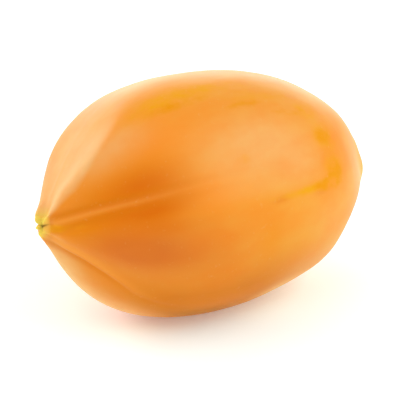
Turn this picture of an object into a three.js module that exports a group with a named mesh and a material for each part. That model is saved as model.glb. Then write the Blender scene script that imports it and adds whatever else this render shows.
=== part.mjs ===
// A ripe papaya lying on its side, in one piece as it grew: a pointed blossom end with five sutures that run
// into a small puckered scar, a full belly, and a blunt stem end with a shallow basin round the cut stalk.
// Millimetres, +Z up. The tip points to -X and the fruit stands on a small flat spot at z = 0.
import * as THREE from "three";

const degrees = THREE.MathUtils.degToRad;

// Main sizes along the fruit's own axis, measured from the tip.
const fruitLength = 165;
const bellyRadius = 53.8;
const bellyAt = 75;

// Blossom end: a dimpled scar on a small knob at the tip, then a cone that swells into the belly.
const knobRadius = 4.6;
const knobLength = 2.6;
const scarDepth = 1.2;
const scarFloorRadius = 0.8;
const scarRimRadius = 3.4;
const scarRimRise = 0.4;
const coneAngle = degrees(52);
const coneReach = 11;
const bellyFrontReach = 50;

// Stem end: the shoulder, the lip of the basin, and the cut stalk that stands in it.
const bellyBackReach = 65;
const shoulderReach = 20.5;
const shoulderSlope = degrees(47);
const lipRadius = 17.5;
const lipDrop = 2.6;
const lipReach = 9;
const basinDepth = 4.2;
const basinFloorReach = 4;
const stalkRadius = 7;
const stalkFootRadius = 7.5;
const stalkFaceRadius = 5;
const stalkHeight = 2.6;
const stalkHollow = 0.7;

// How the fruit lies: turned about its axis, a little bent, its stem end lower, and pressed flat where it
// rests.
const roll = degrees(29);
const bendUp = 1.9;
const bendAside = 0.6;
const pitch = degrees(-2.9);
const flatDepth = 1.6;

// Five lobes between five sutures. The swelling is a share of the radius.
const lobeAtBelly = 0.008;
const lobeAtTip = 0.062;
const lobeTipReach = 36;
const lobeAtStem = 0.014;
const lobeStemReach = 25;
const crestReach = 40;
const knobReach = 3;

// Each suture has a raised rib with a furrow beside it, and strays a little to one side on its way from the
// tip: its course pairs distances from the tip with degrees. Angles go round the axis from the rib that faces
// out. The crest and the knob belong to the lobe that follows: how sharp it is near the tip, as a share of
// its swelling, and how far its knob stands out at the scar.
const sutureStart = 3;
const plainRib = { ribWidth: 1.5, furrowAside: 3, furrowWidth: 2 };
const sutures = [
  {
    ...plainRib,
    at: 0,
    rib: 0.5,
    furrow: 0.35,
    reach: 46,
    crest: 0.3,
    knob: 0.6,
    course: [[3, 4], [7, 3], [12, 2], [20, 1], [29, 0]],
  },
  {
    ...plainRib,
    at: 84,
    rib: 0.1,
    furrow: 0.15,
    furrowAside: -3,
    reach: 26,
    crest: 0.1,
    knob: 1,
    course: [[0, 0]],
  },
  {
    ...plainRib,
    at: 150,
    rib: 0.35,
    furrow: 0.5,
    reach: 40,
    crest: 0.1,
    knob: 0.8,
    course: [[4, -4], [14, 1], [30, 0]],
  },
  {
    ...plainRib,
    at: 216,
    rib: 0.35,
    furrow: 0.5,
    furrowAside: -3,
    reach: 42,
    crest: 0.1,
    knob: 1,
    course: [[4, 3], [12, -3], [30, 0]],
  },
  {
    at: 297,
    rib: 0.55,
    ribWidth: 2.1,
    furrow: 0.75,
    furrowAside: -2.9,
    furrowWidth: 1.5,
    reach: 32,
    crest: 0.1,
    knob: 0.5,
    course: [[3, -5], [8, 3], [12, 5], [16, 3], [20, 1], [25, -2], [32, -7], [44, -9]],
  },
];

// The edge between the two lobes on the upper left, sharp near the tip and rounded off towards the belly.
// Its course pairs distances from the tip with angles.
const edge = { height: 1, spread: 6, bluntAtTip: 0.6, bluntGrowth: 0.08 };
const edgeCourse = [[0, 42], [6, 38], [13, 35], [28, 46], [46, 63], [60, 68]];
const edgeStart = [2, 14];
const edgeEnd = [34, 62];

// The knob at the tip sits askew: its middle and the side that faces out lie further back, and all of it is
// pushed a little upwards.
const tipReach = 4.5;
const tipBack = 3;
const tipMiddleShare = 0.62;
const tipHiddenShare = 0.1;
const tipFacingShare = 0.85;
const tipRim = 3.2;
const tipPush = 1.3;

// The creases of the knob wind a little round the axis, most on the lower side that faces out.
const windTurn = degrees(-30);
const windRound = degrees(290);
const windSpread = degrees(60);
const windReach = 3.5;

// Broad unevenness of the grown fruit: a swelling or a dent at a place along and round it.
const unevenness = [
  { along: 4.5, round: 108, height: 1, spread: 3.5 },
  { along: 18, round: 110, height: -1.6, spread: 10 },
  { along: 48, round: 103, height: 0.8, spread: 14 },
  { along: 88, round: 277, height: 0.9, spread: 22 },
  { along: 134, round: 292, height: 1.2, spread: 14 },
  { along: 149, round: 350, height: 0.8, spread: 14 },
  { along: 152, round: 36, height: 1.7, spread: 13 },
];

// Soft folds of the skin where it turns down into the stem basin.
const folds = [
  { count: 5, height: 0.35, phase: 0.4 },
  { count: 8, height: 0.16, phase: 2 },
];
const foldRadius = 15;
const foldWidth = 7;

// Steps of the mesh: round each lobe, and along each stretch of the profile.
const stepsPerLobe = 17;
const stepCrowding = 0.12;
const tipSteps = 6;
const frontSteps = 23;
const backSteps = 18;
const basinSteps = 10;

const tau = 2 * Math.PI;
const bell = (x, width) => Math.exp(-((x / width) ** 2));

// A point of the half outline, with x the radius and y the distance from the tip.
const spot = (along, radius) => new THREE.Vector2(radius, along);

// A smooth stretch of the half outline from one point to another, drawn by two handles.
function stretch(from, fromHandle, toHandle, to, steps) {
  return new THREE.CubicBezierCurve(from, fromHandle, toHandle, to).getPoints(steps);
}

// The half outline from the tip to the middle of the stalk.
function outline() {
  const knobSide = spot(knobLength, knobRadius);
  const coneHandle = spot(coneReach * Math.cos(coneAngle), coneReach * Math.sin(coneAngle)).add(knobSide);
  const belly = spot(bellyAt, bellyRadius);
  const lip = spot(fruitLength - lipDrop, lipRadius);
  const downShoulder = spot(Math.sin(shoulderSlope), -Math.cos(shoulderSlope));
  const shoulderHandle = lip.clone().addScaledVector(downShoulder, -shoulderReach);
  const lipHandle = lip.clone().addScaledVector(downShoulder, lipReach);
  const stalkFoot = spot(fruitLength - basinDepth, stalkFootRadius);
  const stalkTop = stalkFoot.y + stalkHeight;
  const scarFloor = spot(-scarRimRise, scarFloorRadius);
  const scar = stretch(spot(scarDepth, 0), scarFloor, spot(0, scarRimRadius), knobSide, tipSteps);
  const frontHandle = spot(bellyAt - bellyFrontReach, bellyRadius);
  const backHandle = spot(bellyAt + bellyBackReach, bellyRadius);
  const front = stretch(knobSide, coneHandle, frontHandle, belly, frontSteps);
  const back = stretch(belly, backHandle, shoulderHandle, lip, backSteps);
  const basinHandle = spot(stalkFoot.y, stalkFootRadius + basinFloorReach);
  const basin = stretch(lip, lipHandle, basinHandle, stalkFoot, basinSteps);
  const stalk = [
    spot(stalkTop, stalkRadius),
    spot(stalkTop, stalkFaceRadius),
    spot(stalkTop - stalkHollow, 0),
  ];
  return [scar, front.slice(1), back.slice(1), basin.slice(1), stalk].flat();
}

// The mesh's meridians, crowded towards the sutures: each has its angle, its place across a lobe from 0 to 1,
// and that lobe's crest and knob. They run backwards, because that turns LatheGeometry's faces outwards here.
function meridians() {
  const forwards = sutures.flatMap(({ at, crest, knob }, i) => {
    const next = i + 1 < sutures.length ? sutures[i + 1].at : sutures[0].at + 360;
    return Array.from({ length: stepsPerLobe }, (_, k) => {
      const even = k / stepsPerLobe;
      const across = even - stepCrowding * Math.sin(tau * even);
      return { angle: degrees(at + (next - at) * across), across, crest, knob };
    });
  });
  return forwards.reverse();
}

// How far it is round the skin, at a radius, from one angle to another.
function aside(radius, from, to) {
  return radius * (THREE.MathUtils.euclideanModulo(to - from + Math.PI, tau) - Math.PI);
}

// Reads a value off a course of [distance from the tip, value] pairs.
function valueAt(course, along) {
  const next = course.findIndex(([at]) => at >= along);
  if (next === 0) return course[0][1];
  if (next < 0) return course.at(-1)[1];
  const [[from, low], [to, high]] = course.slice(next - 1, next + 1);
  return THREE.MathUtils.mapLinear(along, from, to, low, high);
}

// The swelling of the five lobes, and of the five small knobs round the scar.
function lobes(along, radius, { across, crest, knob }) {
  const share =
    lobeAtBelly +
    lobeAtTip * bell(along, lobeTipReach) +
    lobeAtStem * bell(fruitLength - along, lobeStemReach);
  const knobHeight = knob * bell(along - knobLength, knobReach) * Math.min(1, radius / knobRadius);
  const sharpness = crest * bell(along, crestReach);
  const wave = -Math.cos(tau * across) - sharpness * (1 - Math.cos(2 * tau * across));
  return (radius * share + knobHeight) * wave;
}

// The ribs and furrows of the sutures, which fade towards the belly.
function sutureRelief(along, radius, angle) {
  return sutures.reduce((height, suture) => {
    const away = aside(radius, degrees(suture.at + valueAt(suture.course, along)), angle);
    const strength = bell(along, suture.reach) * (1 - bell(along, sutureStart));
    const ridge = suture.rib * bell(away, suture.ribWidth);
    const groove = suture.furrow * bell(away - suture.furrowAside, suture.furrowWidth);
    return height + strength * (ridge - groove);
  }, 0);
}

function edgeRelief(along, radius, angle) {
  const { smoothstep } = THREE.MathUtils;
  const strength = smoothstep(along, ...edgeStart) * (1 - smoothstep(along, ...edgeEnd));
  const away = aside(radius, degrees(valueAt(edgeCourse, along)), angle);
  const blunt = edge.bluntAtTip + edge.bluntGrowth * along;
  return edge.height * strength * Math.exp((blunt - Math.hypot(away, blunt)) / edge.spread);
}

function broadRelief(along, radius, angle) {
  return unevenness.reduce((height, lump) => {
    const away = Math.hypot(along - lump.along, aside(radius, degrees(lump.round), angle));
    return height + lump.height * bell(away, lump.spread);
  }, 0);
}

function foldRelief(radius, angle) {
  const waves = folds.map(({ count, height, phase }) => height * Math.cos(count * angle + phase));
  return (waves[0] + waves[1]) * bell(radius - foldRadius, foldWidth);
}

// How far the skin stands out from the plain turned body at a point of the outline. The stalk stays plain.
function relief(point, meridian) {
  const { x: radius, y: along } = point;
  const { angle } = meridian;
  const height =
    lobes(along, radius, meridian) +
    sutureRelief(along, radius, angle) +
    edgeRelief(along, radius, angle) +
    broadRelief(along, radius, angle);
  if (along < bellyAt) return height;
  const offStalk = THREE.MathUtils.smoothstep(radius, stalkFootRadius, lipRadius);
  return (height + foldRelief(radius, angle)) * offStalk;
}

// How far a point near the tip is moved, along the fruit and upwards. Upwards lies at the roll's angle from the
// fruit's own side, because the fruit is turned about its axis afterwards.
function tipShift({ x: radius, y: along }, angle) {
  const { lerp, smoothstep } = THREE.MathUtils;
  const rimShare = lerp(tipHiddenShare, tipFacingShare, smoothstep(Math.cos(angle), -0.2, 0.8));
  const share = lerp(tipMiddleShare, rimShare, smoothstep(radius, 0, tipRim));
  const strength = bell(along, tipReach);
  const up = tipPush * strength;
  return new THREE.Vector3(tipBack * strength * share, -up * Math.sin(roll), up * Math.cos(roll));
}

// How far a point near the tip is turned about the axis.
function windAt(along, angle) {
  return windTurn * bell(along, windReach) * bell(aside(1, windRound, angle), windSpread);
}

// The direction along the outline at each of its points.
function tangents(points) {
  return points.map((_, j) => {
    const after = points[Math.min(j + 1, points.length - 1)];
    return after.clone().sub(points[Math.max(j - 1, 0)]).normalize();
  });
}

function fruitGeometry() {
  const points = outline();
  const along = tangents(points);
  const steps = meridians();
  const geometry = new THREE.LatheGeometry(points, steps.length);
  const position = geometry.getAttribute("position");
  for (let i = 0; i <= steps.length; i++) {
    const meridian = steps[i % steps.length];
    const { angle } = meridian;
    points.forEach((point, j) => {
      const height = point.x > 0 ? relief(point, meridian) : 0;
      const radius = point.x + height * along[j].y;
      const x = point.y - height * along[j].x;
      const turned = angle + windAt(point.y, angle);
      const place = new THREE.Vector3(x, -radius * Math.cos(turned), radius * Math.sin(turned));
      place.add(tipShift(point, turned)).toArray(position.array, 3 * (i * points.length + j));
    });
  }
  return geometry;
}

// Bends the fruit a little along its length, most at the middle.
function bend(geometry) {
  const position = geometry.getAttribute("position");
  for (let i = 0; i < position.count; i++) {
    const share = position.getX(i) / fruitLength;
    const bow = 4 * share * (1 - share);
    position.setY(i, position.getY(i) + bendAside * bow);
    position.setZ(i, position.getZ(i) + bendUp * bow);
  }
}

// Lays the fruit down, presses its underside flat and puts the middle of its box over the origin.
function layDown(geometry) {
  geometry.rotateX(-roll);
  bend(geometry);
  geometry.rotateY(-pitch);
  geometry.computeBoundingBox();
  const table = geometry.boundingBox.min.z + flatDepth;
  const position = geometry.getAttribute("position");
  for (let i = 0; i < position.count; i++) {
    position.setZ(i, Math.max(position.getZ(i), table));
  }
  geometry.computeBoundingBox();
  const { min, max } = geometry.boundingBox;
  geometry.translate(-(min.x + max.x) / 2, -(min.y + max.y) / 2, -table);
  geometry.computeVertexNormals();
  return geometry;
}

const skin = new THREE.MeshStandardMaterial({ color: 0xf29a38, roughness: 0.42, metalness: 0 });
const papaya = new THREE.Mesh(layDown(fruitGeometry()), skin);
papaya.name = "papaya";

const fruit = new THREE.Group();
fruit.add(papaya);

export default fruit;
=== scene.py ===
import math

import bpy
import numpy as np
from mathutils import Matrix, Vector


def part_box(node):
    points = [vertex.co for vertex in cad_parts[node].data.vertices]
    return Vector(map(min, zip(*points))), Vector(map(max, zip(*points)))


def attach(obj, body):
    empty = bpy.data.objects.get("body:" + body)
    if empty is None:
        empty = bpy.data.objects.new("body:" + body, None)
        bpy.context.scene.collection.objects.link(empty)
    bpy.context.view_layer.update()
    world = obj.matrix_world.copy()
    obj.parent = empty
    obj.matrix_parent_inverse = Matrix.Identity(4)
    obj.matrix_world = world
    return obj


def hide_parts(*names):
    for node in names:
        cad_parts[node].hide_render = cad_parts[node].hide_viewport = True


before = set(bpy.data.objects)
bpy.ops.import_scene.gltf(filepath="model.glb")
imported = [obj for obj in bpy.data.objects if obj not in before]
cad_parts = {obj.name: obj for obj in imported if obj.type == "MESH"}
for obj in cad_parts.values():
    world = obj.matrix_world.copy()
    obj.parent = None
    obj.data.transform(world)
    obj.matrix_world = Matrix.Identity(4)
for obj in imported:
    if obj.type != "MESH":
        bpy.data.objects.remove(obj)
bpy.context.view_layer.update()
print("frame loaded")

# The fruit is modelled in millimetres along X, from its tip at 0. It is laid down and brought to
# metres last.
mm = 0.001
fruit = {
    "length": 165,
    "bellyRadius": 53.8,
    "bellyAt": 75,
    "knobRadius": 4.6,
    "knobLength": 2.6,
    "scarDepth": 1.2,
    "scarFloorRadius": 0.8,
    "scarRimRadius": 3.4,
    "scarRimRise": 0.4,
    "coneAngle": math.radians(52),
    "coneReach": 11,
    "bellyFrontReach": 50,
    "bellyBackReach": 65,
    "shoulderReach": 20.5,
    "shoulderSlope": math.radians(47),
    "lipRadius": 17.5,
    "lipDrop": 2.6,
    "lipReach": 9,
    "basinDepth": 4.2,
    "basinFloorReach": 4,
    "stalkFootRadius": 7.5,
    "outlineSteps": 64,
    "lobeSteps": 64,
    "crowding": 0.12,
}


def bell(x, width):
    return np.exp(-((x / width) ** 2))


def smooth(x, low, high):
    t = np.clip((x - low) / (high - low), 0, 1)
    return t * t * (3 - 2 * t)


def onlySelect(piece):
    bpy.ops.object.select_all(action="DESELECT")
    piece.select_set(True)
    bpy.context.view_layer.objects.active = piece


# A Bezier curve from the tip's scar to the foot of the stalk. X runs along the fruit, and Y is its
# radius.
def drawHalfOutline():
    f = fruit
    knob = Vector((f["knobLength"], f["knobRadius"], 0))
    cone = f["coneReach"] * Vector((math.cos(f["coneAngle"]), math.sin(f["coneAngle"]), 0))
    lip = Vector((f["length"] - f["lipDrop"], f["lipRadius"], 0))
    down = Vector((math.sin(f["shoulderSlope"]), -math.cos(f["shoulderSlope"]), 0))
    foot = Vector((f["length"] - f["basinDepth"], f["stalkFootRadius"], 0))
    belly = Vector((f["bellyAt"], f["bellyRadius"], 0))
    scar = Vector((f["scarDepth"], 0, 0))
    knots = [  # handle before, point, handle after
        (scar, scar, Vector((-f["scarRimRise"], f["scarFloorRadius"], 0))),
        (Vector((0, f["scarRimRadius"], 0)), knob, knob + cone),
        (
            belly - Vector((f["bellyFrontReach"], 0, 0)),
            belly,
            belly + Vector((f["bellyBackReach"], 0, 0)),
        ),
        (lip - f["shoulderReach"] * down, lip, lip + f["lipReach"] * down),
        (foot + Vector((0, f["basinFloorReach"], 0)), foot, foot),
    ]
    bpy.ops.object.select_all(action="DESELECT")
    bpy.ops.curve.primitive_bezier_curve_add(location=(0, 0, 0))
    curve = bpy.context.object
    spline = curve.data.splines[0]
    spline.bezier_points.add(len(knots) - len(spline.bezier_points))
    spline.resolution_u = f["outlineSteps"]
    for point, (before, at, after) in zip(spline.bezier_points, knots):
        point.handle_left_type = "FREE"
        point.handle_right_type = "FREE"
        point.co = at
        point.handle_left = before
        point.handle_right = after
    bpy.ops.object.convert(target="MESH")
    return bpy.context.object


def spinBody(outline):
    onlySelect(outline)
    bpy.ops.object.mode_set(mode="EDIT")
    bpy.ops.mesh.select_all(action="SELECT")
    bpy.ops.mesh.spin(
        steps=5 * fruit["lobeSteps"], angle=math.tau, center=(0, 0, 0), axis=(1, 0, 0)
    )
    bpy.ops.mesh.select_all(action="SELECT")
    bpy.ops.mesh.remove_doubles(threshold=1e-4)
    bpy.ops.mesh.normals_make_consistent(inside=False)
    bpy.ops.object.mode_set(mode="OBJECT")
    return outline


stalk = {
    "height": 2.6,
    "radius": 7.0,
    "faceRadius": 5.6,
    "hollow": 0.9,
    "wallSteps": 4,
    "edgeLifts": (0.25, 0.1),  # the rounded edge, in two steps
    "rings": 8,  # on the cut face
}


# The cut stalk grows out of the open ring in the stem basin.
def growStalk(body):
    foot = fruit["stalkFootRadius"]
    onlySelect(body)
    bpy.ops.object.mode_set(mode="EDIT")
    bpy.ops.mesh.select_mode(type="EDGE")
    bpy.ops.mesh.select_all(action="DESELECT")
    bpy.ops.mesh.select_non_manifold(extend=False, use_wire=False, use_multi_face=False)
    centre = (fruit["length"] - fruit["basinDepth"], 0, 0)
    reach = foot
    top = stalk["radius"]
    face = stalk["faceRadius"]
    rise = stalk["height"] / stalk["wallSteps"]
    steps = []
    for k in range(1, stalk["wallSteps"] + 1):
        steps.append((foot + (top - foot) * k / stalk["wallSteps"], rise))
    steps += zip(((top + face) / 2, face), stalk["edgeLifts"])
    for k in range(1, stalk["rings"]):
        share = k / stalk["rings"]
        steps.append((face * (1 - share), -stalk["hollow"] * (2 / stalk["rings"]) * (1 - share)))
    for radius, lift in steps:
        bpy.ops.mesh.extrude_region_move(TRANSFORM_OT_translate={"value": (lift, 0, 0)})
        size = radius / reach
        bpy.ops.transform.resize(value=(1, size, size), center_override=centre)
        reach = radius
    bpy.ops.mesh.merge(type="CENTER")
    bpy.ops.mesh.select_mode(type="VERT")
    bpy.ops.mesh.select_all(action="SELECT")
    bpy.ops.mesh.normals_make_consistent(inside=False)
    bpy.ops.object.mode_set(mode="OBJECT")


# Five lobes between five sutures. Angles go round the axis from the rib that faces out.
relief = {
    "lobeAtBelly": 0.008,
    "lobeAtTip": 0.062,
    "lobeTipReach": 36,
    "lobeAtStem": 0.014,
    "lobeStemReach": 25,
    "crestReach": 40,
    "knobReach": 3,
    "sutureStart": 3,
    # Each suture has a raised rib and a furrow beside it, and may stray to the side on its way from
    # the tip. Its rib gets painted highlight, its furrow painted shade, and its dark crease runs
    # into the scar.
    "sutures": [
        {
            "at": 0, "crest": 0.3, "knob": 0.6, "reach": 46, "dark": 1,
            "rib": 0.5, "ribWidth": 1.5, "furrow": 0.35, "furrowAside": 3, "furrowWidth": 2,
            "paint": 0.7, "paintWidth": 1.2, "paintAside": 0, "otherSide": 0.7,
            "along": [3, 7, 12, 20, 29], "stray": [4, 3, 2, 1, 0],
        },
        {
            "at": 84, "crest": 0.1, "knob": 1.0, "reach": 26, "dark": 0.1,
            "rib": 0.1, "ribWidth": 1.5, "furrow": 0.15, "furrowAside": -3, "furrowWidth": 2,
            "paint": 0.7, "paintWidth": 1.2, "paintAside": 0, "otherSide": 0.7,
            "along": [0], "stray": [0],
        },
        {
            "at": 150, "crest": 0.1, "knob": 0.8, "reach": 40, "dark": 0.5,
            "rib": 0.35, "ribWidth": 1.5, "furrow": 0.5, "furrowAside": 3, "furrowWidth": 2,
            "paint": 0.7, "paintWidth": 1.2, "paintAside": 0, "otherSide": 0.7,
            "along": [4, 14, 30], "stray": [-4, 1, 0],
        },
        {
            "at": 216, "crest": 0.1, "knob": 1.0, "reach": 42, "dark": 0.2,
            "rib": 0.35, "ribWidth": 1.5, "furrow": 0.5, "furrowAside": -3, "furrowWidth": 2,
            "paint": 0.7, "paintWidth": 1.2, "paintAside": 0, "otherSide": 0.7,
            "along": [4, 12, 30], "stray": [3, -3, 0],
        },
        {
            "at": 297, "crest": 0.1, "knob": 0.5, "reach": 32, "dark": 0.3,
            "rib": 0.55, "ribWidth": 2.1, "furrow": 0.75, "furrowAside": -2.9, "furrowWidth": 1.5,
            "paint": 1, "paintWidth": 2.4, "paintAside": 1, "otherSide": 0,
            "along": [3, 8, 12, 16, 20, 25, 32, 44], "stray": [-5, 3, 5, 3, 1, -2, -7, -9],
        },
    ],
    "unevenness": [
        {"along": 4.5, "round": 108, "height": 1, "spread": 3.5},
        {"along": 18, "round": 110, "height": -1.6, "spread": 10},
        {"along": 48, "round": 103, "height": 0.8, "spread": 14},
        {"along": 88, "round": 277, "height": 0.9, "spread": 22},
        {"along": 134, "round": 292, "height": 1.2, "spread": 14},
        {"along": 149, "round": 350, "height": 0.8, "spread": 14},
        {"along": 152, "round": 36, "height": 1.7, "spread": 13},
    ],
    "folds": [
        {"count": 5, "height": 0.35, "phase": 0.4},
        {"count": 8, "height": 0.16, "phase": 2},
    ],
    "foldRadius": 15,
    "foldWidth": 7,
    "creaseDepth": 0.5,
    "creaseWidth": 0.4,
    "creaseReach": 2.5,
    # The sharp edge between two lobes, from the tip to the belly: how far round it lies at points
    # along the fruit.
    "edgeAlong": [0, 6, 13, 28, 46, 60],
    "edgeRound": [42, 38, 35, 46, 63, 68],
    "edgeStart": (2, 14),
    "edgeEnd": (34, 62),
    "edgeHeight": 1.0,
    "edgeSpread": 6,
    "edgeBlunt": 0.6,  # at the tip, and how much blunter it gets along the fruit
    "edgeBluntGrowth": 0.08,
}

# How the fruit lies. Its stem end is a little lower, which puts its weight over the flat spot.
lie = {
    "roll": math.radians(29),
    "bendUp": 1.9,
    "bendAside": 0.6,
    "pitch": math.radians(-2.9),
    "flatDepth": 1.6,
}

# The knob at the tip sits askew: its middle and the side that faces out lie further back, and all
# of it is pushed a little upwards.
tipShape = {
    "reach": 4.5,
    "back": 3.0,
    "middleShare": 0.62,
    "hiddenShare": 0.1,
    "facingShare": 0.85,
    "rim": 3.2,
    "push": 1.3,
    # Its creases wind a little round the axis.
    "windTurn": math.radians(-30),
    "windRound": 290,
    "windSpread": math.radians(60),
    "windReach": 3.5,
}

# Patches of the skin's colour and of painted light and shade: where they lie along and round the
# fruit, and how far they spread each way.
tones = {
    "golden": [
        {"along": 57, "round": 50, "long": 18, "wide": 7, "strength": 0.65},
        {"along": 127, "round": 13, "long": 7, "wide": 5, "strength": 0.8},
        {"along": 122, "round": 28, "long": 7, "wide": 5, "strength": 0.6},
        {"along": 128, "round": 354, "long": 6, "wide": 6, "strength": 0.8},
        {"along": 116, "round": 347, "long": 9, "wide": 2.2, "strength": 0.7},
        {"along": 3.6, "round": 345, "long": 2.4, "wide": 1.4, "strength": 1.4},
        {"along": 9, "round": 347.5, "long": 6, "wide": 1.4, "strength": 0.3},
        {"along": 77, "round": 7, "long": 4, "wide": 3, "strength": 0.3},
        {"along": 82, "round": 51, "long": 24, "wide": 4, "strength": 0.55},
        {"along": 100, "round": 40, "long": 20, "wide": 6, "strength": 0.3},
        {"along": 102, "round": 346, "long": 13, "wide": 1.6, "strength": 0.6},
        {"along": 60, "round": 128, "long": 26, "wide": 16, "strength": 0.7},
        {"along": 104, "round": 178, "long": 20, "wide": 16, "strength": 0.6},
        {"along": 80, "round": 236, "long": 24, "wide": 14, "strength": 0.5},
        {"along": 138, "round": 210, "long": 12, "wide": 30, "strength": 0.6},
        {"along": 140, "round": 110, "long": 12, "wide": 20, "strength": 0.6},
    ],
    "amber": [
        {"along": 126.5, "round": 13, "long": 5, "wide": 3, "strength": 1.3},
        {"along": 128.5, "round": 353, "long": 4, "wide": 4.5, "strength": 1.6},
        {"along": 124, "round": 347.5, "long": 5, "wide": 3, "strength": 1.3},
        {"along": 117, "round": 346.5, "long": 5, "wide": 2, "strength": 1},
        {"along": 60, "round": 44, "long": 16, "wide": 3.5, "strength": 0.5},
        {"along": 90, "round": 35, "long": 12, "wide": 2.2, "strength": 0.55},
        {"along": 112, "round": 28, "long": 12, "wide": 2.4, "strength": 0.5},
        {"along": 112, "round": 176, "long": 14, "wide": 4, "strength": 0.8},
        {"along": 136, "round": 214, "long": 6, "wide": 12, "strength": 0.8},
    ],
    "terracotta": [
        {"along": 26, "round": 328, "long": 19, "wide": 12, "strength": 0.95},
        {"along": 52, "round": 326, "long": 24, "wide": 14, "strength": 0.5},
    ],
    # painted light: brighter orange where the skin turns from the light, beside the sharp edge and
    # below the suture that faces out
    "vividPaintedLight": [
        {"along": 38, "round": 28, "long": 27, "wide": 14, "strength": 1},
        {"along": 60, "round": 354, "long": 20, "wide": 7, "strength": 0.7},
        {"along": 62, "round": 4, "long": 14, "wide": 7, "strength": 0.5},
    ],
    "clear": [
        {"along": 24, "round": 13, "long": 24, "wide": 13, "strength": 0.9},
        {"along": 9, "round": 349, "long": 6, "wide": 3, "strength": 0.8},
        {"along": 24, "round": 352, "long": 24, "wide": 5, "strength": 0.7},
        {"along": 87, "round": 327, "long": 6, "wide": 9, "strength": 0.5},
    ],
    "ruddy": [
        {"along": 30, "round": 9, "long": 17, "wide": 8, "strength": 0.85},
        {"along": 32, "round": 352, "long": 16, "wide": 5, "strength": 0.9},
        {"along": 38, "round": 342, "long": 16, "wide": 4, "strength": 0.5},
        {"along": 44, "round": 0, "long": 12, "wide": 6, "strength": 0.3},
        {"along": 93, "round": 345, "long": 4, "wide": 1.3, "strength": 0.5},
        {"along": 117, "round": 344, "long": 4, "wide": 1.5, "strength": 0.3},
        {"along": 46, "round": 170, "long": 24, "wide": 16, "strength": 0.6},
        {"along": 40, "round": 232, "long": 20, "wide": 14, "strength": 0.6},
        {"along": 92, "round": 112, "long": 24, "wide": 18, "strength": 0.4},
    ],
    "ochre": [
        {"along": 48, "round": 282, "long": 32, "wide": 18, "strength": 1},
        {"along": 84, "round": 294, "long": 34, "wide": 20, "strength": 0.95},
    ],
    # painted shade: darker skin along the lower edge, close to the table
    "under": [
        {"along": 68, "round": 275, "long": 23, "wide": 8, "strength": 0.9},
    ],
    # the pale waxy bloom, with painted highlights and painted reflections of the white surroundings
    # on the lit facet and the rims
    "bloomAndHighlight": [
        {"along": 94, "round": 87, "long": 60, "wide": 21, "strength": 0.8},
        {"along": 32, "round": 33, "long": 12, "wide": 6, "strength": 0.2},
        {"along": 30, "round": 41, "long": 12, "wide": 6, "strength": 0.45},
        {"along": 108, "round": 0, "long": 12, "wide": 9, "strength": 0.25},
        {"along": 55, "round": 82, "long": 22, "wide": 13, "strength": 0.4},
        {"along": 151, "round": 18, "long": 11, "wide": 26, "strength": 0.45},
        {"along": 132, "round": 49, "long": 19, "wide": 12, "strength": 1},
        {"along": 100, "round": 59, "long": 22, "wide": 9, "strength": 0.5},
        {"along": 152, "round": 338, "long": 13, "wide": 10, "strength": 0.65},
        {"along": 128, "round": 298, "long": 22, "wide": 11, "strength": 0.4},
        {"along": 14, "round": 252, "long": 16, "wide": 9, "strength": 1},
        {"along": 38, "round": 259, "long": 16, "wide": 10, "strength": 0.9},
        {"along": 110, "round": 281, "long": 16, "wide": 8, "strength": 0.9},
        {"along": 124, "round": 330, "long": 14, "wide": 12, "strength": 0.2},
        {"along": 70, "round": 200, "long": 30, "wide": 18, "strength": 0.35},
        {"along": 120, "round": 248, "long": 22, "wide": 16, "strength": 0.35},
    ],
}
# Painted highlight in the pale bloom: on the lit facet beside the sharp edge, and in the broad pale
# field above the faint end of the suture that faces out.
bloomHighlightFields = {
    "facetStrength": 0.93,
    "facetWidth": 26,
    "facetEnd": (34, 62),
    "facetFade": (22, 42),  # along the fruit
    "facetFadeShare": 0.9,
    "facetThin": (3, 14),  # away from the edge
    "facetThinShare": 0.4,
    "borderBlunt": 0.8,  # how soft the border along the edge is at the tip, and how that grows
    "borderGrowth": 0.16,
    "sutureLine": 347,
    "middle": 86,
    "long": 29,
    "crest": 24,  # how far above the line the field is palest
    "wide": 16,
    "fieldFade": (24, 44),  # the rest of the field above its line
    "least": 0.2,
    "strength": 0.56,
    "underGold": 0.1,  # what is left of the bloom on a golden patch
}
# Yellow at the tip, reaching further on its upper side, partly as painted light on the shaded neck
# behind the knob, and the dark creases in the scar.
tipPaint = {
    "reach": 2.8,
    "reachAbove": 1.9,
    "lessInFront": 0.6,
    "upperSide": math.radians(100),
    "creaseWidth": 0.35,
    "creaseReach": 2,
    "creaseRadius": 2.6,
    "scarRadius": 0.7,
}
# Paint along the sutures, painted highlight on the ribs and painted shade in the furrows, which
# ends a little before their relief.
suturePaint = {"reachShare": 0.88, "fullRib": 0.5, "furrowWidth": 1.6}
# Where the stem basin and the cork of the stalk end, by radius.
stemPaint = {"basin": (9, 30), "cork": (7.2, 8.3)}


def distanceRound(radius, at, angle):
    return radius * ((angle - np.radians(at) + math.pi) % math.tau - math.pi)


def distanceFromSuture(suture, along, radius, angle):
    line = suture["at"] + np.interp(along, suture["along"], suture["stray"])
    return distanceRound(radius, line, angle)


# Turns the evenly spun meridians so that they crowd towards the sutures, and says where each lies.
def placeMeridians(co):
    steps = fruit["lobeSteps"]
    sutures = relief["sutures"]
    even = np.arctan2(co[:, 2], -co[:, 1]) % math.tau
    index = np.rint(even / math.tau * 5 * steps).astype(int) % (5 * steps)
    lobe, step = index // steps, index % steps
    starts = np.array([s["at"] for s in sutures], float)
    widths = np.diff(np.append(starts, starts[0] + 360))
    across = step / steps - fruit["crowding"] * np.sin(math.tau * step / steps)
    angle = np.radians(starts[lobe] + widths[lobe] * across)
    crest = np.array([s["crest"] for s in sutures])[lobe]
    knob = np.array([s["knob"] for s in sutures])[lobe]
    return angle, across, crest, knob


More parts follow.
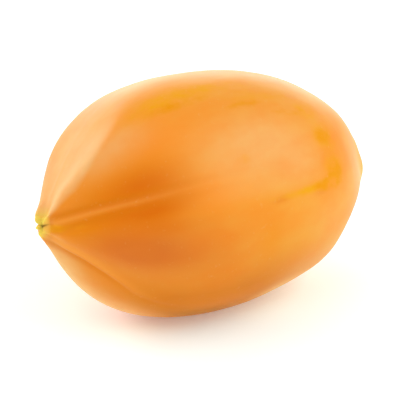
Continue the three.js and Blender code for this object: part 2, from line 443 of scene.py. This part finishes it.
# Distance from the sharp edge on the upper left, and how strong the edge is there.
def findEdge(along, radius, angle):
    r = relief
    line = np.interp(along, r["edgeAlong"], r["edgeRound"])
    away = distanceRound(radius, line, angle)
    strength = smooth(along, *r["edgeStart"]) * (1 - smooth(along, *r["edgeEnd"]))
    return away, strength


def skinHeight(along, radius, angle, across, crest, knobSwell):
    r = relief
    share = (
        r["lobeAtBelly"]
        + r["lobeAtTip"] * bell(along, r["lobeTipReach"])
        + r["lobeAtStem"] * bell(fruit["length"] - along, r["lobeStemReach"])
    )
    fromKnob = along - fruit["knobLength"]
    knob = knobSwell * bell(fromKnob, r["knobReach"])
    knob = knob * np.minimum(1, radius / fruit["knobRadius"])
    sharpness = crest * bell(along, r["crestReach"])
    wave = -np.cos(math.tau * across) - sharpness * (1 - np.cos(2 * math.tau * across))
    height = (radius * share + knob) * wave
    for s in r["sutures"]:
        away = distanceFromSuture(s, along, radius, angle)
        strength = bell(along, s["reach"]) * (1 - bell(along, r["sutureStart"]))
        height += strength * s["rib"] * bell(away, s["ribWidth"])
        height -= strength * s["furrow"] * bell(away - s["furrowAside"], s["furrowWidth"])
        crease = r["creaseDepth"] * bell(along, r["creaseReach"]) * smooth(radius, 0.2, 1.5)
        height -= crease * bell(away, r["creaseWidth"])
    away, strength = findEdge(along, radius, angle)
    blunt = r["edgeBlunt"] + r["edgeBluntGrowth"] * along
    fall = (np.hypot(away, blunt) - blunt) / r["edgeSpread"]
    height += r["edgeHeight"] * strength * np.exp(-fall)
    for u in r["unevenness"]:
        away = np.hypot(along - u["along"], distanceRound(radius, u["round"], angle))
        height += u["height"] * bell(away, u["spread"])
    waves = sum(f["height"] * np.cos(f["count"] * angle + f["phase"]) for f in r["folds"])
    onStemEnd = along > fruit["bellyAt"]
    height += np.where(onStemEnd, waves * bell(radius - r["foldRadius"], r["foldWidth"]), 0)
    offStalk = smooth(radius, fruit["stalkFootRadius"], fruit["lipRadius"])
    return height * np.where(onStemEnd, offStalk, 1)


# How pale the skin is beside the sharp edge, and in the field above the suture that faces out: a
# painted highlight in the bloom.
def bloomHighlightFieldsAt(along, radius, angle):
    f = bloomHighlightFields
    away, _ = findEdge(along, radius, angle)
    blunt = f["borderBlunt"] + f["borderGrowth"] * along
    facet = smooth(away, -0.95 * blunt, 0.5 * blunt)
    facet = facet * (1 - smooth(away, f["facetWidth"], 2 * f["facetWidth"]))
    facet = facet * (1 - f["facetFadeShare"] * smooth(along, *f["facetFade"]))
    facet = facet * (1 - f["facetThinShare"] * smooth(away, *f["facetThin"]))
    facet = facet * smooth(along, 0, 3) * (1 - smooth(along, *f["facetEnd"]))
    above = distanceRound(radius, f["sutureLine"], angle)
    field = f["least"] * (1 - smooth(above, *f["fieldFade"]))
    field = field + (1 - f["least"]) * bell(above - f["crest"], f["wide"])
    field = field * smooth(above, -2, 5) * bell(along - f["middle"], f["long"])
    return facet, field


def tipYellowAt(along, angle):
    t = tipPaint
    upper = smooth(np.cos(angle - t["upperSide"]), 0, 1)
    facing = smooth(np.cos(angle), 0.3, 1)
    # the upper side reaches further, partly as painted light on the shaded neck behind the knob
    reach = t["reach"] + t["reachAbove"] * upper - t["lessInFront"] * facing
    return bell(along, reach) * (1 - 0.5 * facing * (1 - upper))


# The dark creases of the scar, painted highlight along the ribs and painted shade in the furrows.
def sutureMarksAt(along, radius, angle):
    crease = bell(radius, tipPaint["scarRadius"])
    rib = np.zeros(len(along))
    furrow = np.zeros(len(along))
    nearScar = bell(along, tipPaint["creaseReach"]) * bell(radius, tipPaint["creaseRadius"])
    wide = suturePaint["furrowWidth"]
    for s in relief["sutures"]:
        away = distanceFromSuture(s, along, radius, angle)
        crease += s["dark"] * bell(away, tipPaint["creaseWidth"]) * nearScar
        strength = bell(along, suturePaint["reachShare"] * s["reach"])
        strength = strength * (1 - bell(along, relief["sutureStart"]))
        strength = strength * min(1, s["rib"] / suturePaint["fullRib"]) ** 2
        # painted highlight along the rib, and painted shade in the furrows beside it
        rib += s["paint"] * strength * bell(away - s["paintAside"], s["paintWidth"])
        furrow += strength * bell(away - s["furrowAside"], wide)
        furrow += s["otherSide"] * strength * bell(away + s["furrowAside"], wide)
    crease = np.clip(crease, 0, 1) * (along < fruit["bellyAt"])
    return crease, np.clip(rib, 0, 1), np.clip(furrow, 0, 1)


# Float attributes that the skin's material reads.
def paintTones(mesh, along, radius, angle):
    marks = {}
    for name, patches in tones.items():
        total = np.zeros(len(along))
        for p in patches:
            aside = distanceRound(radius, p["round"], angle)
            total += p["strength"] * bell(along - p["along"], p["long"]) * bell(aside, p["wide"])
        marks[name] = np.minimum(total, 1)
    facet, field = bloomHighlightFieldsAt(along, radius, angle)
    # the lit facet and the broad field add painted highlight to the bloom
    bloomAndHighlight = np.maximum(marks["bloomAndHighlight"], bloomHighlightFields["facetStrength"] * facet)
    bloomAndHighlight = np.minimum(bloomAndHighlight + bloomHighlightFields["strength"] * field, 1)
    marks["bloomAndHighlight"] = bloomAndHighlight * (1 - (1 - bloomHighlightFields["underGold"]) * marks["golden"])
    marks["tip"] = tipYellowAt(along, angle)
    marks["crease"], marks["rib"], marks["furrow"] = sutureMarksAt(along, radius, angle)
    onStemEnd = along > fruit["bellyAt"]
    marks["stemEnd"] = onStemEnd * (1 - smooth(radius, *stemPaint["basin"]))
    marks["cork"] = onStemEnd * (1 - smooth(radius, *stemPaint["cork"]))
    for name, values in marks.items():
        layer = mesh.attributes.new(name=name, type="FLOAT", domain="POINT")
        layer.data.foreach_set("value", values.astype(np.float32))


def windAt(along, angle):
    t = tipShape
    away = distanceRound(1, t["windRound"], angle)
    return t["windTurn"] * bell(along, t["windReach"]) * bell(away, t["windSpread"])


def skewTip(co, along, radius, angle):
    t = tipShape
    near = smooth(np.cos(angle), -0.2, 0.8)
    rim = t["hiddenShare"] + (t["facingShare"] - t["hiddenShare"]) * near
    share = t["middleShare"] + (rim - t["middleShare"]) * smooth(radius, 0, t["rim"])
    strength = bell(along, t["reach"])
    co[:, 0] += t["back"] * strength * share
    co[:, 1] -= t["push"] * strength * math.sin(lie["roll"])
    co[:, 2] += t["push"] * strength * math.cos(lie["roll"])


def readPoints(mesh, what="co"):
    values = np.empty(len(mesh.vertices) * 3)
    mesh.vertices.foreach_get(what, values)
    return values.reshape(-1, 3)


def shapeSkin(body):
    mesh = body.data
    co = readPoints(mesh)
    normal = readPoints(mesh, "normal")
    along = co[:, 0].copy()
    radius = np.hypot(co[:, 1], co[:, 2])
    angle, across, crest, knob = placeMeridians(co)
    height = np.where(radius > 0.001, skinHeight(along, radius, angle, across, crest, knob), 0)
    outwards = np.divide(
        normal[:, 1] * co[:, 1] + normal[:, 2] * co[:, 2],
        radius,
        out=np.zeros(len(co)),
        where=radius > 0.001,
    )
    newRadius = radius + height * outwards
    co[:, 0] = along + height * normal[:, 0]
    turned = angle + windAt(along, angle)
    co[:, 1] = -newRadius * np.cos(turned)
    co[:, 2] = newRadius * np.sin(turned)
    skewTip(co, along, radius, turned)
    mesh.vertices.foreach_set("co", co.ravel())
    paintTones(mesh, along, radius, angle)
    mesh.update()


# Low unevenness of the skin, too fine for the solid.
dimples = {"size": 16, "height": 0.35}


def dimpleSkin(body):
    clouds = bpy.data.textures.new("softDimples", type="CLOUDS")
    clouds.noise_scale = dimples["size"]
    clouds.noise_depth = 2
    onlySelect(body)
    swell = body.modifiers.new("dimples", "DISPLACE")
    swell.texture = clouds
    swell.texture_coords = "LOCAL"
    swell.strength = dimples["height"]
    swell.mid_level = 0.5
    bpy.ops.object.modifier_apply(modifier=swell.name)


# Bends the fruit a little, lowers its stem end, presses it flat where it rests, and puts it over the
# middle of the CAD box.
def layDown(body):
    mesh = body.data
    mesh.transform(Matrix.Rotation(-lie["roll"], 4, "X"))
    co = readPoints(mesh)
    share = co[:, 0] / fruit["length"]
    bow = 4 * share * (1 - share)
    co[:, 1] += lie["bendAside"] * bow
    co[:, 2] += lie["bendUp"] * bow
    mesh.vertices.foreach_set("co", co.ravel())
    mesh.transform(Matrix.Rotation(-lie["pitch"], 4, "Y"))
    table = float(readPoints(mesh)[:, 2].min()) + lie["flatDepth"]
    onlySelect(body)
    bpy.ops.object.mode_set(mode="EDIT")
    bpy.ops.mesh.select_mode(type="VERT")
    bpy.ops.mesh.select_all(action="DESELECT")
    bpy.ops.object.mode_set(mode="OBJECT")
    for v in mesh.vertices:
        v.select = v.co.z < table
    bpy.ops.object.mode_set(mode="EDIT")
    bpy.ops.transform.resize(value=(1, 1, 0), center_override=(0, 0, table))
    bpy.ops.object.mode_set(mode="OBJECT")
    mesh.transform(Matrix.Translation((0, 0, -table)))
    mesh.transform(Matrix.Scale(mm, 4))
    low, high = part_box("papaya")
    co = readPoints(mesh)
    off = (low + high - Vector(co.min(axis=0)) - Vector(co.max(axis=0))) / 2
    mesh.transform(Matrix.Translation((off.x, off.y, low.z)))
    onlySelect(body)
    bpy.ops.object.shade_smooth()


# Materials: small helpers for nodes.
class Board:
    def __init__(self, name):
        self.material = bpy.data.materials.new(name)
        self.material.use_nodes = True
        self.tree = self.material.node_tree
        self.tree.nodes.clear()
        self.column = 0

    def put(self, kind, **settings):
        node = self.tree.nodes.new(kind)
        node.location = (self.column * 40, -(self.column % 6) * 180)
        self.column += 1
        for key, value in settings.items():
            setattr(node, key, value)
        return node

    def join(self, source, target):
        self.tree.links.new(source, target)

    def feed(self, socket, value):
        if isinstance(value, bpy.types.NodeSocket):
            self.join(value, socket)
        else:
            socket.default_value = value

    def attribute(self, name):
        return self.put("ShaderNodeAttribute", attribute_name=name).outputs["Fac"]

    def sum(self, operation, a, b):
        node = self.put("ShaderNodeMath", operation=operation)
        self.feed(node.inputs[0], a)
        self.feed(node.inputs[1], b)
        return node.outputs[0]

    def times(self, a, b):
        return self.sum("MULTIPLY", a, b)

    def grain(self, noise, least, most):  # a noise lies between 0.3 and 0.7 nearly everywhere
        return self.spread(noise, 0.3, 0.7, least, most)

    def spread(self, value, low, high, toLow, toHigh):
        node = self.put("ShaderNodeMapRange")
        node.clamp = True
        self.feed(node.inputs["Value"], value)
        node.inputs["From Min"].default_value = low
        node.inputs["From Max"].default_value = high
        node.inputs["To Min"].default_value = toLow
        node.inputs["To Max"].default_value = toHigh
        return node.outputs["Result"]

    def noise(self, place, scale, detail=2, roughness=0.5, stretch=(1, 1, 1)):
        mapping = self.put("ShaderNodeMapping")
        mapping.inputs["Scale"].default_value = stretch
        self.join(place, mapping.inputs["Vector"])
        node = self.put("ShaderNodeTexNoise")
        self.join(mapping.outputs["Vector"], node.inputs["Vector"])
        node.inputs["Scale"].default_value = scale
        node.inputs["Detail"].default_value = detail
        node.inputs["Roughness"].default_value = roughness
        return node.outputs["Fac"]

    def blend(self, amount, a, b):
        node = self.put("ShaderNodeMix", data_type="RGBA")
        self.feed(node.inputs["Factor"], amount)
        self.feed(node.inputs["A"], a)
        self.feed(node.inputs["B"], b)
        return node.outputs["Result"]

    def bump(self, height, depth, strength, under=None):
        node = self.put("ShaderNodeBump")
        node.inputs["Strength"].default_value = strength
        node.inputs["Distance"].default_value = depth
        self.join(height, node.inputs["Height"])
        if under is not None:
            self.join(under, node.inputs["Normal"])
        return node.outputs["Normal"]


skin = {
    "orange": (0.92, 0.270, 0.022, 1),
    "light": (0.91, 0.345, 0.042, 1),
    "golden": (0.89, 0.350, 0.004, 1),
    "amber": (0.87, 0.288, 0.0002, 1),
    "clear": (0.87, 0.255, 0.004, 1),
    # bright orange of the painted light
    "vividPaintedLight": (1.0, 0.272, 0.018, 1),
    "ruddy": (0.76, 0.150, 0.0005, 1),
    "terracotta": (0.72, 0.160, 0.018, 1),
    "ochre": (0.70, 0.190, 0.006, 1),
    # dark colour of the painted shade near the table
    "under": (0.52, 0.185, 0.010, 1),
    # pale colour of the bloom and of its painted highlights and painted reflections
    "bloomAndHighlight": (0.92, 0.49, 0.18, 1),
    # pale colour of the painted highlight along the ribs
    "rib": (0.93, 0.335, 0.050, 1),
    # dark colour of the painted shade in the furrows
    "furrow": (0.74, 0.19, 0.002, 1),
    # yellow of the tip, which also stands as painted light on its shaded neck
    "tip": (0.98, 0.70, 0.10, 1),
    "tipGreen": (0.45, 0.42, 0.030, 1),
    "crease": (0.20, 0.10, 0.010, 1),
    "stemEnd": (0.76, 0.44, 0.020, 1),
    "cork": (0.44, 0.26, 0.12, 1),
    "corkDark": (0.17, 0.085, 0.035, 1),
    "roughness": 0.40,
    "specular": 0.06,
    "glow": 0.12,  # how much light spreads under the skin
    "glowScale": 0.003,
    "glowRadius": (1.0, 0.35, 0.1),
    # how much of each tone shows where the mottling is weak and where it is strong, in the order
    # that they are painted in
    "patches": [
        ("ochre", 0.7, 1.1),
        ("under", 0.8, 1),
        ("terracotta", 0.75, 1.1),
        ("vividPaintedLight", 0.8, 1),
        ("clear", 0.8, 1.1),
        ("ruddy", 0.75, 1.1),
        ("bloomAndHighlight", 0.7, 1.15),
    ],
    # ragged patches: where each starts, where it is full, and how much of it shows
    "raggedPatches": [("golden", 0.1, 0.75, 0.9), ("amber", 0.15, 0.65, 1)],
    "broadGrain": 22,  # scales of the noises
    "middleGrain": 75,
    "smallGrain": 170,
    "fineGrain": 420,
    "corkGrain": 900,
    "rippleGrain": 190,
    "poreGrain": 1500,
    "furrowShare": 0.65,
    "ribShare": 0.8,
    "freckleShare": 0.16,
    "creaseShare": 0.85,
    "poreDepth": 0.0001,
    "poreStrength": 0.25,
    "rippleDepth": 0.0004,
    "rippleStrength": 0.35,
    "barkDepth": 0.0012,
    "corkRoughness": 0.85,
}


def makeSkinMaterial():
    s = skin
    board = Board("papayaSkin")
    place = board.put("ShaderNodeTexCoord").outputs["Object"]
    broad = board.noise(place, s["broadGrain"], 2, 0.5, (0.7, 1, 1))
    middle = board.noise(place, s["middleGrain"], 3, 0.55, (0.6, 1, 1))
    small = board.noise(place, s["smallGrain"], 3, 0.6, (0.7, 1, 1))
    fine = board.noise(place, s["fineGrain"], 4, 0.6)

    mottle = board.sum("ADD", board.times(broad, 0.6), board.times(middle, 0.4))
    colour = board.blend(board.spread(mottle, 0.40, 0.62, 0, 1), s["orange"], s["light"])
    for name, least, most in s["patches"]:
        grain = middle if name == "bloomAndHighlight" else broad
        amount = board.times(board.attribute(name), board.grain(grain, least, most))
        colour = board.blend(amount, colour, s[name])
    rough = board.grain(small, 0.3, 1.3)
    for name, low, high, most in s["raggedPatches"]:
        ragged = board.times(board.attribute(name), rough)
        colour = board.blend(board.spread(ragged, low, high, 0, most), colour, s[name])
    # painted shade in the furrows and painted highlight along the ribs
    for name in ("furrow", "rib"):
        amount = board.times(board.attribute(name), s[name + "Share"])
        colour = board.blend(amount, colour, s[name])
    freckles = board.spread(fine, 0.62, 0.74, 0, s["freckleShare"])
    colour = board.blend(freckles, colour, s["bloomAndHighlight"])

    stemGrain = board.grain(middle, 0.5, 1.1)
    stemTone = board.times(board.attribute("stemEnd"), stemGrain)
    colour = board.blend(stemTone, colour, s["stemEnd"])
    tip = board.attribute("tip")
    colour = board.blend(board.spread(tip, 0.2, 0.9, 0, 0.9), colour, s["tip"])
    greenGrain = board.grain(fine, 0.4, 1)
    greenish = board.times(board.spread(tip, 0.85, 1, 0, 0.3), greenGrain)
    colour = board.blend(greenish, colour, s["tipGreen"])
    creases = board.times(board.attribute("crease"), s["creaseShare"])
    colour = board.blend(creases, colour, s["crease"])
    cork = board.attribute("cork")
    corkGrain = board.noise(place, s["corkGrain"], 5, 0.65)
    corkColour = board.blend(board.spread(corkGrain, 0.35, 0.65, 0, 1), s["corkDark"], s["cork"])
    colour = board.blend(cork, colour, corkColour)

    waxy = board.grain(middle, s["roughness"] - 0.03, s["roughness"] + 0.05)
    roughness = board.sum("MAXIMUM", waxy, board.times(cork, s["corkRoughness"]))

    pits = board.noise(place, s["poreGrain"], 3, 0.6)
    pores = board.bump(pits, s["poreDepth"], s["poreStrength"])
    waves = board.noise(place, s["rippleGrain"], 3, 0.5, (0.5, 1, 1))
    ripples = board.bump(waves, s["rippleDepth"], s["rippleStrength"], pores)
    bark = board.bump(board.times(cork, corkGrain), s["barkDepth"], 1, ripples)

    shader = board.put("ShaderNodeBsdfPrincipled")
    board.join(colour, shader.inputs["Base Color"])
    board.join(roughness, shader.inputs["Roughness"])
    board.join(bark, shader.inputs["Normal"])
    shader.inputs["Specular IOR Level"].default_value = s["specular"]
    shader.inputs["Subsurface Weight"].default_value = s["glow"]
    shader.inputs["Subsurface Radius"].default_value = s["glowRadius"]
    shader.inputs["Subsurface Scale"].default_value = s["glowScale"]
    output = board.put("ShaderNodeOutputMaterial")
    board.join(shader.outputs["BSDF"], output.inputs["Surface"])
    return board.material


def makePapaya():
    body = spinBody(drawHalfOutline())
    body.name = "papayaFruit"
    growStalk(body)
    print("body spun:", len(body.data.vertices), "points")
    shapeSkin(body)
    dimpleSkin(body)
    layDown(body)
    body.data.materials.clear()
    body.data.materials.append(makeSkinMaterial())
    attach(body, "root")
    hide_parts("papaya")
    print("papaya shaped and laid down")
    return body


makePapaya()

# A white table in a bright, soft studio.
studio = {
    "floorSize": 8,
    "floorColour": (0.89, 1.0, 1.0, 1),
    "floorGlow": 0.18,  # the table is lit a little from below, all over
    "ambient": 0.46,
    "lightsAim": Vector((0, 0, 0.05)),
    # name, direction from the fruit, distance, width and height in metres, power in watts, colour
    "lights": [
        ("keyBox", (0.58, -0.56, 0.59), 1.0, (1.0, 0.75), 6.05, (0.84, 1, 1)),
        ("leftBox", (-0.70, 0.04, 0.71), 1.0, (1.2, 0.7), 3.8, (1, 1, 1)),
        ("leftBackPanel", (-0.28, 0.91, 0.31), 1.0, (0.5, 0.6), 3.8, (1, 1, 1)),
        ("backdrop", (0.56, 0.82, 0.12), 1.2, (1.7, 0.3), 6.2, (1, 1, 1)),
        ("backHigh", (0.36, 0.81, 0.45), 1.2, (1.2, 0.45), 1.6, (1, 1, 1)),
        ("frontFill", (-0.55, -0.82, 0.17), 1.3, (1.2, 0.35), 0.35, (1, 1, 1)),
    ],
}


def makeStudio():
    bpy.ops.object.select_all(action="DESELECT")
    bpy.ops.mesh.primitive_plane_add(size=studio["floorSize"], location=(0, 0, 0))
    floor = bpy.context.object
    floor.name = "studioFloor"
    board = Board("studioFloor")
    shader = board.put("ShaderNodeBsdfPrincipled")
    shader.inputs["Base Color"].default_value = studio["floorColour"]
    shader.inputs["Roughness"].default_value = 1
    shader.inputs["Specular IOR Level"].default_value = 0
    shader.inputs["Emission Color"].default_value = (1, 1, 1, 1)
    shader.inputs["Emission Strength"].default_value = studio["floorGlow"]
    output = board.put("ShaderNodeOutputMaterial")
    board.join(shader.outputs["BSDF"], output.inputs["Surface"])
    floor.data.materials.append(board.material)

    for name, direction, far, size, watts, tint in studio["lights"]:
        towards = Vector(direction).normalized()
        lamp = bpy.data.lights.new(name, "AREA")
        lamp.shape = "RECTANGLE"
        lamp.size, lamp.size_y = size
        lamp.energy = watts
        lamp.color = tint
        box = bpy.data.objects.new(name, lamp)
        bpy.context.scene.collection.objects.link(box)
        box.location = studio["lightsAim"] + far * towards
        box.rotation_euler = (-towards).to_track_quat("-Z", "Y").to_euler()
        box.visible_camera = False

    world = bpy.data.worlds.new("whiteRoom")
    bpy.context.scene.world = world
    world.use_nodes = True
    room = world.node_tree.nodes["Background"]
    room.inputs["Color"].default_value = (1, 1, 1, 1)
    room.inputs["Strength"].default_value = studio["ambient"]
    bpy.context.scene.view_settings.view_transform = "Standard"
    print("studio lit")


# The camera looks at the middle of the fruit's axis, which the photograph has a little off centre.
camera = {
    "aim": Vector((-0.0003, -0.0001, 0.0504)),
    "azimuth": math.radians(-34),
    "elevation": math.radians(24.4),
    "distance": 1.2375,
    "pixelsPerMetre": 2225,  # at the fruit's middle, in a picture 400 pixels wide
    "pictureWidth": 400,
    "aimPixel": (196.4, 195.0),
    "sensorWidth": 36,
}


def makeCamera():
    c = camera
    data = bpy.data.cameras.new("studioCamera")
    eye = bpy.data.objects.new("studioCamera", data)
    bpy.context.scene.collection.objects.link(eye)
    bpy.context.scene.camera = eye
    level = math.cos(c["elevation"])
    back = Vector(
        (math.sin(c["azimuth"]) * level, -math.cos(c["azimuth"]) * level, math.sin(c["elevation"]))
    )
    eye.location = c["aim"] + c["distance"] * back
    eye.rotation_euler = (-back).to_track_quat("-Z", "Y").to_euler()
    data.sensor_width = c["sensorWidth"]
    data.lens = data.sensor_width * c["pixelsPerMetre"] * c["distance"] / c["pictureWidth"]
    data.shift_x = 0.5 - c["aimPixel"][0] / c["pictureWidth"]
    data.shift_y = c["aimPixel"][1] / c["pictureWidth"] - 0.5
    data.clip_start = 0.05
    print("camera placed")


makeStudio()
makeCamera()
